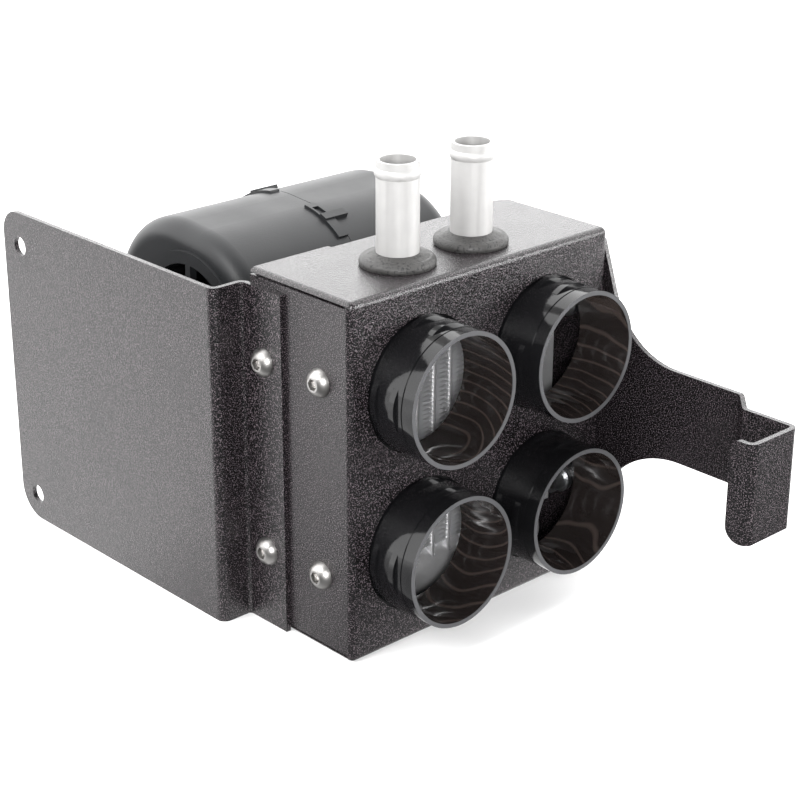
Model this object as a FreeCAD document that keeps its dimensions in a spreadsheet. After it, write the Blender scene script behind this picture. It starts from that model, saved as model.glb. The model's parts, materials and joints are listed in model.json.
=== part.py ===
import FreeCAD, Part
import math
import os
import Sketcher

# A liquid-fed cab heater: a folded steel case holds an aluminium heater core, a twin centrifugal
# blower pushes air in from behind, and four round spigots on the front feed the warm-air ducts.
#
# Frame: millimetres, +Z up. The origin is the centre of the face that the case stands on. The four
# spigots point along -Y, the blower sits on the +Y side, and the blower's shaft lies along X.

document = FreeCAD.newDocument("CabHeater")
sheet = document.addObject("Spreadsheet::Sheet", "Sizes")
nodes = []


class Size:
    """A length or an angle that carries its number and the sheet formula that gives it."""

    def __init__(self, number, formula):
        self.number = number
        self.formula = formula

    def __add__(self, other):
        other = as_size(other)
        return Size(self.number + other.number, f"({self.formula} + {other.formula})")

    def __sub__(self, other):
        other = as_size(other)
        return Size(self.number - other.number, f"({self.formula} - {other.formula})")

    def __mul__(self, other):
        other = as_size(other)
        return Size(self.number * other.number, f"({self.formula} * {other.formula})")

    def __truediv__(self, other):
        other = as_size(other)
        return Size(self.number / other.number, f"({self.formula} / {other.formula})")

    def __neg__(self):
        return Size(-self.number, f"(0 - {self.formula})")

    def __radd__(self, other):
        return as_size(other) + self

    def __rsub__(self, other):
        return as_size(other) - self

    def __rmul__(self, other):
        return as_size(other) * self


def as_size(value):
    return value if isinstance(value, Size) else Size(float(value), f"({value})")


def sine(angle):
    return Size(math.sin(math.radians(angle.number)), f"sin({angle.formula} * 1 deg)")


def root(value):
    return Size(math.sqrt(value.number), f"sqrt({value.formula})")


def cosine(angle):
    return Size(math.cos(math.radians(angle.number)), f"cos({angle.formula} * 1 deg)")


row_number = 0


def cell(alias, value, note):
    """Write one driving dimension into the sheet and read it back as a Size."""
    global row_number
    row_number += 1
    sheet.set(f"A{row_number}", note)
    sheet.set(f"B{row_number}", str(value))
    sheet.setAlias(f"B{row_number}", alias)
    sheet.recompute()
    return Size(float(sheet.get(alias)), f"Sizes.{alias}")


# ---- driving dimensions ---------------------------------------------------------------------

case_width = cell("case_width", 132, "case, left to right")
case_depth = cell("case_depth", 54, "case, front to back")
case_height = cell("case_height", 140, "case, bottom to top")
case_sheet = cell("case_sheet", 1.5, "case and inner sheet metal")
case_bend = cell("case_bend", 2.5, "outside radius of the case's folds")
seam_slit = cell("seam_slit", 0.9, "open slit between a side and the top or bottom plate")
corner_round = cell("corner_round", 9, "rounded rear right corner of the top plate")
rear_recess = cell("rear_recess", 2, "step in the rear edge of the top plate")
recess_left = cell("recess_left", -29, "left end of that step")
recess_right = cell("recess_right", 34, "right end of that step")

spigot_radius = cell("spigot_radius", 25.4, "duct spigot, outside")
spigot_wall = cell("spigot_wall", 1.6, "duct spigot wall")
spigot_reach = cell("spigot_reach", 22, "duct spigot, in front of the case")
spigot_gap = cell("spigot_gap", 0.8, "radial gap between a spigot and its hole")
spigot_flange = cell("spigot_flange", 4.6, "inner flange of a spigot beyond its tube")
spigot_across = cell("spigot_across", 63, "spigots, centre to centre across")
spigot_up = cell("spigot_up", 63.4, "spigots, centre to centre up")
spigot_middle = cell("spigot_middle", 70, "height of the middle of the four spigots")
bead_height = cell("bead_height", 1.3, "hose-retaining lens on a spigot, proud of the tube")
bead_radius = cell("bead_radius", 14, "radius that a retaining lens is cut from")
bead_width = cell("bead_width", 2.6, "retaining lens along the spigot")
lens_gap = cell("lens_gap", 1.2, "first ring of lenses ahead of the case")
lens_pitch = cell("lens_pitch", 9.5, "between the two rings of lenses")
rim_band = cell("rim_band", 5.5, "plain band at a spigot's rim")
rim_step = cell("rim_step", 0.3, "fine groove behind the rim band")

pipe_radius = cell("pipe_radius", 7.95, "hose pipe, outside")
pipe_wall = cell("pipe_wall", 1.4, "hose pipe wall")
pipe_rise = cell("pipe_rise", 38.7, "top of the hose pipes above the case")
pipe_bead = cell("pipe_bead", 0.65, "rolled hose bead, proud of the pipe")
pipe_bead_drop = cell("pipe_bead_drop", 4.4, "rolled bead below the pipe's top")
pipe_bead_width = cell("pipe_bead_width", 3.6, "rolled bead along the pipe")
inlet_across = cell("inlet_across", -23.6, "inlet pipe from the middle of the case")
outlet_across = cell("outlet_across", 13.5, "outlet pipe from the middle of the case")
core_back = cell("core_back", -5.2, "core and pipes, from the middle of the case's depth")
grommet_radius = cell("grommet_radius", 14.7, "rubber grommet, outside")
grommet_rise = cell("grommet_rise", 4.6, "rubber grommet above the top plate")
grommet_neck = cell("grommet_neck", 11, "grommet through the top plate")
grommet_lip = cell("grommet_lip", 0.8, "grommet lip thickness")
grommet_bulge = cell("grommet_bulge", 2.3, "radius of the grommet's rounded rim")
grommet_edge = cell("grommet_edge", 3.4, "height of the grommet's rounded rim")
grommet_slope = cell("grommet_slope", 2.9, "grommet's sloped top begins inside its outside radius")

header_radius = cell("header_radius", 11, "round header tanks of the core")
header_wall = cell("header_wall", 1.5, "header wall")
header_low = cell("header_low", 15, "axis of the lower header above the base")
header_drop = cell("header_drop", 15.5, "axis of the upper header below the case top")
tube_count = 10
tube_pitch = cell("tube_pitch", 8.4, "flat tubes, centre to centre")
tube_thick = cell("tube_thick", 2, "flat tube thickness")
tube_depth = cell("tube_depth", 18, "flat tube, front to back")
tube_wall = cell("tube_wall", 0.4, "flat tube wall")
tube_nose = cell("tube_nose", 1.1, "radius of a flat tube's narrow edges")
fin_cells = 13
fin_sheet = cell("fin_sheet", 0.35, "folded fin sheet")
core_side_sheet = cell("core_side_sheet", 1.2, "core side plates")
core_side_lip = cell("core_side_lip", 6, "outward lips of the core side plates")
core_bracket_front = cell("core_bracket_front", -20, "front edge of the core brackets")
core_bracket_rear = cell("core_bracket_rear", 8.5, "rear face of the core brackets")
panel_gap = cell("panel_gap", 1.5, "rear panel's flanges behind the core brackets")
core_pad_half = cell("core_pad_half", 32.5, "half the length of the foam pad under the core")
core_pad_depth = cell("core_pad_depth", 9, "foam pad under the core, front to back")

screw_low = cell("screw_low", 30.5, "lower side screws above the base")
screw_high = cell("screw_high", 106.5, "upper side screws above the base")
screw_front = cell("screw_front", 16.5, "front side screws behind the case front")
screw_rear = cell("screw_rear", 8.8, "rear side screws ahead of the case back")
screw_radius = cell("screw_radius", 3, "side screw shank")
screw_head = cell("screw_head", 5.5, "side screw button head")
screw_crown = cell("screw_crown", 3.3, "height of the button head")
screw_socket = cell("screw_socket", 4, "hex socket, across flats")
screw_socket_depth = cell("screw_socket_depth", 2.3, "hex socket depth")
screw_curve = cell("screw_curve", 4.5, "radius of the button head's crown")
screw_clearance = cell("screw_clearance", 0.3, "radial clearance of a screw in sheet metal")
screw_short = cell("screw_short", 1, "side screw's tip short of its nut's end")
nut_radius = cell("nut_radius", 4.5, "rivet nut body")
nut_length = cell("nut_length", 8, "rivet nut, inward from its sheet")
nut_bulge = cell("nut_bulge", 1.1, "set bulge of a rivet nut beyond its body")

bracket_sheet = cell("bracket_sheet", 2, "mounting bracket sheet")
bracket_height = cell("bracket_height", 134.5, "mounting brackets, bottom to top")
left_flange_front = cell("left_flange_front", 8, "front edge of the left bracket's flange")
left_web = cell("left_web", 29.4, "front face of the left bracket's web")
left_offset = cell("left_offset", 15.5, "left plate's outer face from the case side")
left_rear = cell("left_rear", 167, "rear edge of the left plate")
left_corner_high = cell("left_corner_high", 10, "upper rear corner of the left plate")
left_corner_low = cell("left_corner_low", 13, "lower rear corner of the left plate")
left_hole = cell("left_hole", 4, "mounting hole radius in the left plate")
left_hole_back = cell("left_hole_back", 155.6, "mounting holes, in depth")
left_hole_low = cell("left_hole_low", 11, "lower mounting hole above the base")
left_hole_pitch = cell("left_hole_pitch", 109.5, "mounting holes, centre to centre")
bend_inside = cell("bend_inside", 1.5, "inside radius of the bracket folds")

arm_top = cell("arm_top", 91, "top edge of the hook arm")
arm_bottom = cell("arm_bottom", 54.3, "bottom edge of the hook arm")
arm_top_sweep = cell("arm_top_sweep", 33, "sweep radius above the hook arm")
arm_bottom_sweep = cell("arm_bottom_sweep", 42, "sweep radius below the hook arm")
arm_sweep_angle = cell("arm_sweep_angle", 71, "how far both sweeps turn")
arm_top_start = cell("arm_top_start", 36, "upper sweep begins this far ahead of the case")
arm_bottom_start = cell("arm_bottom_start", 41, "lower sweep begins this far ahead of the case")
jog_start = cell("jog_start", 67, "joggle begins this far ahead of the case")
jog_end = cell("jog_end", 73, "joggle ends this far ahead of the case")
jog_inward = cell("jog_inward", 5.6, "joggle depth")
hook_front = cell("hook_front", 97, "hook face ahead of the case")
hook_width = cell("hook_width", 26.4, "hook, outer faces")
hook_lip = cell("hook_lip", 10, "hook lip, front to back")
hook_top = cell("hook_top", 88.6, "top edge of the hook")
hook_bottom = cell("hook_bottom", 49, "bottom edge of the hook")
hook_corner_high = cell("hook_corner_high", 4, "upper corner of the hook lip")
hook_corner_low = cell("hook_corner_low", 6, "lower corner of the hook lip")

blower_gap = cell("blower_gap", 9.5, "front of the blower drum behind the case back")
blower_height = cell("blower_height", 100.3, "blower shaft above the base")
blower_radius = cell("blower_radius", 39.5, "radius of the blower drum's front and rear")
drum_back = cell("drum_back", 13, "centre of the drum's rear behind the shaft")
drum_rise = cell("drum_rise", 1, "centre of the drum's rear above the shaft")
blower_half = cell("blower_half", 56, "blower, middle seam to its end")
blower_shoulder = cell("blower_shoulder", 8, "rounded shoulder at a blower end")
housing_wall = cell("housing_wall", 2, "blower housing wall")
housing_seam = cell("housing_seam", 0.3, "open line between the two housing halves")
seam_across = cell("seam_across", 2.5, "that line, to the right of the middle")
scroll_growth = cell("scroll_growth", 7, "how far the scroll grows past the drum")
scroll_half = cell("scroll_half", 50, "blower duct, middle seam to its side")
duct_high = cell("duct_high", 14, "top of the blower duct below the shaft")
flange_margin = cell("flange_margin", 7, "blower flange around the duct")
flange_sheet = cell("flange_sheet", 2.5, "blower flange thickness")
gasket_sheet = cell("gasket_sheet", 2, "foam gasket under the blower flange")
flange_screw_radius = cell("flange_screw_radius", 2, "blower flange screw shank")
flange_screw_head = cell("flange_screw_head", 3.6, "blower flange screw head")
flange_screw_crown = cell("flange_screw_crown", 2.2, "height of a blower flange screw head")
flange_screw_across = cell("flange_screw_across", 45, "blower flange screws from the middle")
inlet_radius = cell("inlet_radius", 28.5, "air inlet in a blower end")
guard_radius = cell("guard_radius", 31.5, "inlet ring, outside")
guard_wall = cell("guard_wall", 2, "inlet ring tube wall")
guard_rise = cell("guard_rise", 1.5, "inlet ring proud of the blower end")
guard_hub = cell("guard_hub", 7, "hub of the inlet ring")
guard_strut = cell("guard_strut", 3, "struts of the inlet ring")
scroll_round = cell("scroll_round", 4, "rounded outer edges of the scroll")
clip_width = cell("clip_width", 4.8, "seam clip strip")
clip_rise = cell("clip_rise", 1, "seam clip proud of the drum")
clip_reach = cell("clip_reach", 6.6, "seam clip bar across the seam")
clip_bar = cell("clip_bar", 3.6, "seam clip bar, around the drum")
clip_bar_rise = cell("clip_bar_rise", 1.7, "seam clip bar proud of the drum")
clip_window = cell("clip_window", 6, "window in the seam clip, around the drum")
clip_frame = cell("clip_frame", 0.9, "rims of the seam clip's window")
clip_span = 32
front_clip_angles = (112,)
rear_clip_angles = (68, 15, -40)
socket_width = cell("socket_width", 16, "power socket shell")
socket_drop = cell("socket_drop", 10, "power socket below the duct")
socket_ahead = cell("socket_ahead", 26.7, "front of the power socket ahead of the shaft")
socket_wall = cell("socket_wall", 1.6, "power socket wall")
pin_half = cell("pin_half", 0.4, "half the thickness of a power pin")

wheel_radius = cell("wheel_radius", 34, "blower wheel, outside")
wheel_eye = cell("wheel_eye", 27.5, "blower wheel, inside its blades")
wheel_inner = cell("wheel_inner", 16, "wheel back plate from the middle seam")
wheel_outer = cell("wheel_outer", 51, "wheel front ring from the middle seam")
wheel_plate = cell("wheel_plate", 1.6, "wheel plate thickness")
wheel_web = cell("wheel_web", 33.5, "wheel web from the middle seam")
wheel_hub = cell("wheel_hub", 5, "wheel hub radius")
wheel_hub_end = cell("wheel_hub_end", 42, "outer end of a wheel hub")
blade_count = 30
blade_sheet = cell("blade_sheet", 1.6, "gap that is left between two air slots")
blade_sweep = cell("blade_sweep", 4, "sweep of a blade in degrees")
wheel_dish_gap = cell("wheel_dish_gap", 2.5, "wheel dish around the motor, radial")
shaft_radius = cell("shaft_radius", 2, "motor shaft")
shaft_half = cell("shaft_half", 45, "motor shaft, middle to its end")
bush_clearance = cell("bush_clearance", 0.05, "radial clearance of the shaft in its bushes")

motor_radius = cell("motor_radius", 18, "motor can")
motor_half = cell("motor_half", 28, "motor can, middle to its end")
motor_wall = cell("motor_wall", 1.5, "motor can wall")
motor_cap = cell("motor_cap", 3, "motor end cap thickness")
bush_radius = cell("bush_radius", 4.5, "sintered bush, outside")
bush_length = cell("bush_length", 5, "sintered bush, inside the cap's outer face")
bush_proud = cell("bush_proud", 1, "sintered bush outside its cap")
air_gap = cell("air_gap", 0.7, "radial gap between magnets and armature")
magnet_thick = cell("magnet_thick", 2.6, "magnet thickness")
magnet_half = cell("magnet_half", 15, "magnets, middle to their ends")
magnet_span = 140
coil_length = cell("coil_length", 5, "end windings beyond the armature")
commutator_radius = cell("commutator_radius", 6, "commutator")
brush_gap = cell("brush_gap", 0.3, "brush above the commutator")
brush_half = cell("brush_half", 2, "half the width of a brush")
brush_reach = cell("brush_reach", 12.4, "outer end of a brush from the shaft")
stack_half = cell("stack_half", 12, "armature core, middle to its ends")
stack_slot_floor = cell("stack_slot_floor", 6, "floor of an armature slot from the shaft")
coil_radius = cell("coil_radius", 10, "end windings, outside")
sleeve_thick = cell("sleeve_thick", 2.4, "rubber sleeve around the motor")
cradle_sheet = cell("cradle_sheet", 3, "motor cradle plate")

# ---- sizes worked out from the driving ones ---------------------------------------------------

case_right = case_width / 2
case_front = -(case_depth / 2)
case_back = case_depth / 2
inner_right = case_right - case_sheet
inner_front = case_front + case_sheet
inner_top = case_height - case_sheet
screw_columns = (case_front + screw_front, case_back - screw_rear)
screw_rows = (screw_low, screw_high)
header_high = case_height - header_drop
tube_span = tube_pitch * (tube_count - 1) / 2
core_half = tube_span + tube_pitch - tube_thick / 2
fin_low = header_low + header_radius
fin_length = header_high - header_radius - fin_low
blower_behind = blower_radius + blower_gap
axis_back = case_back + blower_behind
pipe_top = case_height + pipe_rise
flange_back = gasket_sheet + flange_sheet
duct_front = flange_back - blower_behind
duct_low = -(blower_radius + scroll_growth)
JOIN = 0.5

# ---- building blocks ---------------------------------------------------------------------------

PLANES = {"x": "YZ_Plane", "y": "XZ_Plane", "z": "XY_Plane"}
DIRECTIONS = {"x": (1, 0, 0), "y": (0, 1, 0), "z": (0, 0, 1)}


def bind(item, name, value):
    item.setExpression(name, as_size(value).formula)


def place(item, x=0, y=0, z=0):
    """Bind where a piece sits."""
    for axis, value in zip("xyz", (x, y, z)):
        bind(item, f"Placement.Base.{axis}", value)
    return item


def keep(item, name):
    """Make this object a sub-part of its own."""
    item.Label = name
    nodes.append(item)
    return item


def box(name, low, high):
    item = document.addObject("Part::Box", name)
    for prop, start, end in zip(("Length", "Width", "Height"), low, high):
        bind(item, prop, as_size(end) - start)
    return place(item, *low)


def rod(name, axis, radius, start, end, across=(0, 0)):
    """A round bar along an axis; across holds its centre on the two other axes, in XYZ order."""
    item = document.addObject("Part::Cylinder", name)
    turn = FreeCAD.Rotation(FreeCAD.Vector(0, 0, 1), FreeCAD.Vector(*DIRECTIONS[axis]))
    item.Placement = FreeCAD.Placement(FreeCAD.Vector(), turn)
    bind(item, "Radius", radius)
    bind(item, "Height", as_size(end) - start)
    centre = list(across)
    centre.insert("xyz".index(axis), start)
    return place(item, *centre)


def fuse(name, items):
    item = document.addObject("Part::MultiFuse", name)
    item.Shapes = items
    item.Refine = True
    return item


def group(name, items):
    """Several like solids that stay separate but share one sub-part."""
    item = document.addObject("Part::Compound", name)
    item.Links = items
    return item


def cut(name, base, tools):
    item = document.addObject("Part::Cut", name)
    item.Base = base
    item.Tool = tools[0] if len(tools) == 1 else fuse(name + "_tools", tools)
    item.Refine = True
    return item


def body(name):
    return document.addObject("PartDesign::Body", name)


def sketch_on(owner, name, axis, offset=0):
    """A sketch across one axis of a body, moved along that plane's normal."""
    item = owner.newObject("Sketcher::SketchObject", name)
    plane = next(f for f in owner.Origin.OriginFeatures if f.Role == PLANES[axis])
    item.AttachmentSupport = [(plane, "")]
    item.MapMode = "FlatFace"
    bind(item, "AttachmentOffset.Base.z", offset)
    return item


def limit(item, kind, values, amount):
    """Add one dimension to a sketch and bind it to the sheet."""
    index = item.addConstraint(Sketcher.Constraint(kind, *values, as_size(amount).number))
    bind(item, f"Constraints[{index}]", amount)


def draw(item, corners):
    """Close an outline through corners. A corner's third value bends the edge that follows it:
    the arc's radius, positive where its centre lies to the left of the edge."""
    points = [FreeCAD.Vector(as_size(c[0]).number, as_size(c[1]).number, 0) for c in corners]
    first = item.GeometryCount
    ends = []
    for index, corner in enumerate(corners):
        start = points[index]
        finish = points[(index + 1) % len(points)]
        if len(corner) == 2:
            item.addGeometry(Part.LineSegment(start, finish), False)
            ends.append((1, 2))
            continue
        bend = as_size(corner[2]).number
        chord = finish - start
        left = FreeCAD.Vector(-chord.y, chord.x, 0).normalize()
        rise = math.sqrt(max(bend ** 2 - chord.Length ** 2 / 4, 0))
        centre = (start + finish) / 2 + left * math.copysign(rise, bend)
        begin, stop = (start, finish) if bend > 0 else (finish, start)
        circle = Part.Circle(centre, FreeCAD.Vector(0, 0, 1), abs(bend))
        arc = Part.ArcOfCircle(circle, circle.parameter(begin), circle.parameter(stop))
        item.addGeometry(arc, False)
        ends.append((1, 2) if bend > 0 else (2, 1))
    for index, corner in enumerate(corners):
        following = (index + 1) % len(corners)
        link = (first + index, ends[index][1], first + following, ends[following][0])
        item.addConstraint(Sketcher.Constraint("Coincident", *link))
        for kind, value in zip(("DistanceX", "DistanceY"), corner):
            limit(item, kind, (-1, 1, first + index, ends[index][0]), value)
        if len(corner) == 3:
            size = as_size(corner[2])
            limit(item, "Radius", (first + index,), size if size.number > 0 else -size)


def draw_circle(item, x, y, radius):
    centre = FreeCAD.Vector(as_size(x).number, as_size(y).number, 0)
    normal = FreeCAD.Vector(0, 0, 1)
    index = item.addGeometry(Part.Circle(centre, normal, as_size(radius).number), False)
    limit(item, "DistanceX", (-1, 1, index, 3), x)
    limit(item, "DistanceY", (-1, 1, index, 3), y)
    limit(item, "Radius", (index,), radius)


def draw_all(item, shapes):
    """A shape is either a list of corners or a circle: its centre's two places and its radius."""
    for shape in shapes:
        if isinstance(shape, tuple):
            draw_circle(item, *shape)
        else:
            draw(item, shape)


def rectangle(low, high):
    return [(low[0], low[1]), (high[0], low[1]), (high[0], high[1]), (low[0], high[1])]


def pad(owner, name, axis, shapes, start, end):
    """Add material across an axis, from the lower place on it to the higher."""
    low, high = sorted((as_size(start), as_size(end)), key=lambda size: size.number)
    outline = sketch_on(owner, name + "_outline", axis, -high if axis == "y" else low)
    draw_all(outline, shapes)
    item = owner.newObject("PartDesign::Pad", name)
    item.Profile = outline
    bind(item, "Length", high - low)
    owner.Tip = item
    return item


def pocket(owner, name, axis, shapes, start, end):
    """Take material away across an axis, from the lower place on it to the higher."""
    low, high = sorted((as_size(start), as_size(end)), key=lambda size: size.number)
    outline = sketch_on(owner, name + "_outline", axis, -low if axis == "y" else high)
    draw_all(outline, shapes)
    item = owner.newObject("PartDesign::Pocket", name)
    item.Profile = outline
    bind(item, "Length", high - low)
    owner.Tip = item
    return item


def turn(owner, name, axis, corners, kind="Revolution", angle=360):
    """Turn a profile about a body's own axis. Corners are (along, out) about X, (out, along) about
    Y or Z. A part turn is centred on the profile."""
    outline = sketch_on(owner, name + "_outline", "y" if axis == "z" else "z")
    draw(outline, corners)
    item = owner.newObject(f"PartDesign::{kind}", name)
    item.Profile = outline
    item.ReferenceAxis = (outline, ["H_Axis" if axis == "x" else "V_Axis"])
    item.Midplane = angle != 360
    item.Angle = angle
    owner.Tip = item
    return item


def polar(owner, name, feature, axis, count):
    """Repeat a feature around one of the body's own axes."""
    item = owner.newObject("PartDesign::PolarPattern", name)
    item.Originals = [feature]
    origin = next(f for f in owner.Origin.OriginFeatures if f.Role == f"{axis.upper()}_Axis")
    item.Axis = (origin, [""])
    item.Angle = 360
    item.Occurrences = count
    owner.Tip = item
    return item


def round_edges(owner, name, radius, wanted):
    """Fillet each edge of the body's last feature that wanted() accepts."""
    document.recompute()
    base = owner.Tip
    chosen = [f"Edge{i}" for i, edge in enumerate(base.Shape.Edges, 1) if wanted(edge)]
    item = owner.newObject("PartDesign::Fillet", name)
    item.Base = (base, chosen)
    bind(item, "Radius", radius)
    owner.Tip = item
    return item


def near(value, target):
    return abs(value - as_size(target).number) < 0.01


def upright_at(places):
    """Accept upright edges that stand at one of the given (x, y) places."""

    def wanted(edge):
        ends = [vertex.Point for vertex in edge.Vertexes]
        if len(ends) != 2 or not (near(ends[0].x, ends[1].x) and near(ends[0].y, ends[1].y)):
            return False
        return any(near(ends[0].x, x) and near(ends[0].y, y) for x, y in places)

    return wanted


def edge_through(axis, places):
    """Accept edges parallel to an axis that pass one of the given places on the other two."""
    others = [index for index in range(3) if index != "xyz".index(axis)]

    def wanted(edge):
        ends = [vertex.Point for vertex in edge.Vertexes]
        if len(ends) != 2:
            return False
        if any(not near(ends[0][index], ends[1][index]) for index in others):
            return False
        return any(all(near(ends[0][i], value) for i, value in zip(others, spot)) for spot in places)

    return wanted


# ---- case ---------------------------------------------------------------------------------------

spigot_places = {
    "spigot_top_left": (-(spigot_across / 2), spigot_middle + spigot_up / 2),
    "spigot_top_right": (spigot_across / 2, spigot_middle + spigot_up / 2),
    "spigot_bottom_left": (-(spigot_across / 2), spigot_middle - spigot_up / 2),
    "spigot_bottom_right": (spigot_across / 2, spigot_middle - spigot_up / 2),
}
pipe_places = {"inlet": inlet_across, "outlet": outlet_across}


def build_front_case():
    """Front, top, bottom and both sides, folded from one sheet and open at the back."""
    case = body("front_case")
    footprint = rectangle((-case_right, case_front), (case_right, case_back))
    pad(case, "case_block", "z", [footprint], 0, case_height)
    upright = upright_at([(-case_right, case_front), (case_right, case_front)])
    round_edges(case, "side_folds", case_bend, upright)
    level = edge_through("x", [(case_front, case_height), (case_front, 0)])
    round_edges(case, "top_folds", case_bend, level)
    chamber = rectangle((-inner_right, case_sheet), (inner_right, inner_top))
    pocket(case, "chamber", "y", [chamber], inner_front, case_back)
    holes = [(x, z, spigot_radius + spigot_gap) for x, z in spigot_places.values()]
    pocket(case, "spigot_holes", "y", holes, case_front, inner_front)
    necks = [(x, core_back, grommet_neck) for x in pipe_places.values()]
    pocket(case, "grommet_holes", "z", necks, inner_top, case_height)
    drill = screw_radius + screw_clearance
    screws = [(y, z, drill) for y in screw_columns for z in screw_rows]
    for side, name in ((-1, "left"), (1, "right")):
        outer = side * case_right
        inner = side * inner_right
        pocket(case, f"{name}_screws", "x", screws, outer, inner)
        slits = [
            rectangle((case_front + case_bend, inner_top - seam_slit), (case_back, inner_top)),
            rectangle((case_front + case_bend, case_sheet), (case_back, case_sheet + seam_slit)),
        ]
        pocket(case, f"{name}_slits", "x", slits, outer, inner)
    rounding = [
        (case_right, case_back - corner_round, corner_round),
        (case_right - corner_round, case_back),
        (case_right, case_back),
    ]
    pocket(case, "rounded_corner", "z", [rounding], inner_top - seam_slit, case_height)
    step = rectangle((recess_left, case_back - rear_recess), (recess_right, case_back))
    pocket(case, "rear_step", "z", [step], inner_top, case_height)
    return keep(case, "front_case")


def build_rear_panel():
    """Back plate with two side flanges; the blower blows through its wide opening."""
    panel = body("rear_panel")
    front = core_bracket_rear + panel_gap
    channel = [
        (-inner_right, front),
        (-inner_right + case_sheet, front),
        (-inner_right + case_sheet, case_back - case_sheet),
        (inner_right - case_sheet, case_back - case_sheet),
        (inner_right - case_sheet, front),
        (inner_right, front),
        (inner_right, case_back),
        (-inner_right, case_back),
    ]
    fit = seam_slit / 2
    pad(panel, "channel", "z", [channel], case_sheet + fit, inner_top - fit)
    folds = upright_at([(-inner_right, case_back), (inner_right, case_back)])
    round_edges(panel, "folds", case_bend, folds)
    opening = rectangle(
        (-(scroll_half - housing_wall), blower_height + duct_low + housing_wall),
        (scroll_half - housing_wall, blower_height - duct_high - housing_wall),
    )
    pocket(panel, "blower_opening", "y", [opening], case_back - case_sheet, case_back)
    holes = [(x, z, flange_screw_radius) for x, z in flange_screw_places()]
    pocket(panel, "flange_screw_holes", "y", holes, case_back - case_sheet, case_back)
    drill = screw_radius + screw_clearance
    screws = [(screw_columns[1], z, drill) for z in screw_rows]
    for side, name in ((-1, "left"), (1, "right")):
        outer = side * inner_right
        pocket(panel, f"{name}_holes", "x", screws, outer, outer - side * case_sheet)
    return keep(panel, "rear_panel")


def flange_screw_places():
    low = blower_height + duct_low - flange_margin / 2
    high = blower_height - duct_high + flange_margin / 2
    return [(side * flange_screw_across, z) for side in (-1, 1) for z in (low, high)]


# ---- mounting brackets --------------------------------------------------------------------------


def build_left_bracket():
    """Z-shaped plate: a flange on the case, a web that steps out and a long plate with two holes."""
    bracket = body("left_bracket")
    flange = -case_right - bracket_sheet
    plate = -case_right - left_offset
    web_back = left_web + bracket_sheet
    section = [
        (-case_right, left_flange_front),
        (-case_right, web_back),
        (plate + bracket_sheet, web_back),
        (plate + bracket_sheet, left_rear),
        (plate, left_rear),
        (plate, left_web),
        (flange, left_web),
        (flange, left_flange_front),
    ]
    pad(bracket, "section", "z", [section], 0, bracket_height)
    tight = upright_at([(flange, left_web), (plate + bracket_sheet, web_back)])
    round_edges(bracket, "inside_bends", bend_inside, tight)
    wide = upright_at([(-case_right, web_back), (plate, left_web)])
    round_edges(bracket, "outside_bends", bend_inside + bracket_sheet, wide)
    upper = edge_through("x", [(left_rear, bracket_height)])
    round_edges(bracket, "upper_corner", left_corner_high, upper)
    lower = edge_through("x", [(left_rear, 0)])
    round_edges(bracket, "lower_corner", left_corner_low, lower)
    heights = (left_hole_low, left_hole_low + left_hole_pitch)
    holes = [(left_hole_back, z, left_hole) for z in heights]
    pocket(bracket, "mounting_holes", "x", holes, plate, plate + bracket_sheet)
    drill = screw_radius + screw_clearance
    screws = [(screw_columns[1], z, drill) for z in screw_rows]
    pocket(bracket, "bracket_screw_holes", "x", screws, flange, -case_right)
    return keep(bracket, "left_bracket")


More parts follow.
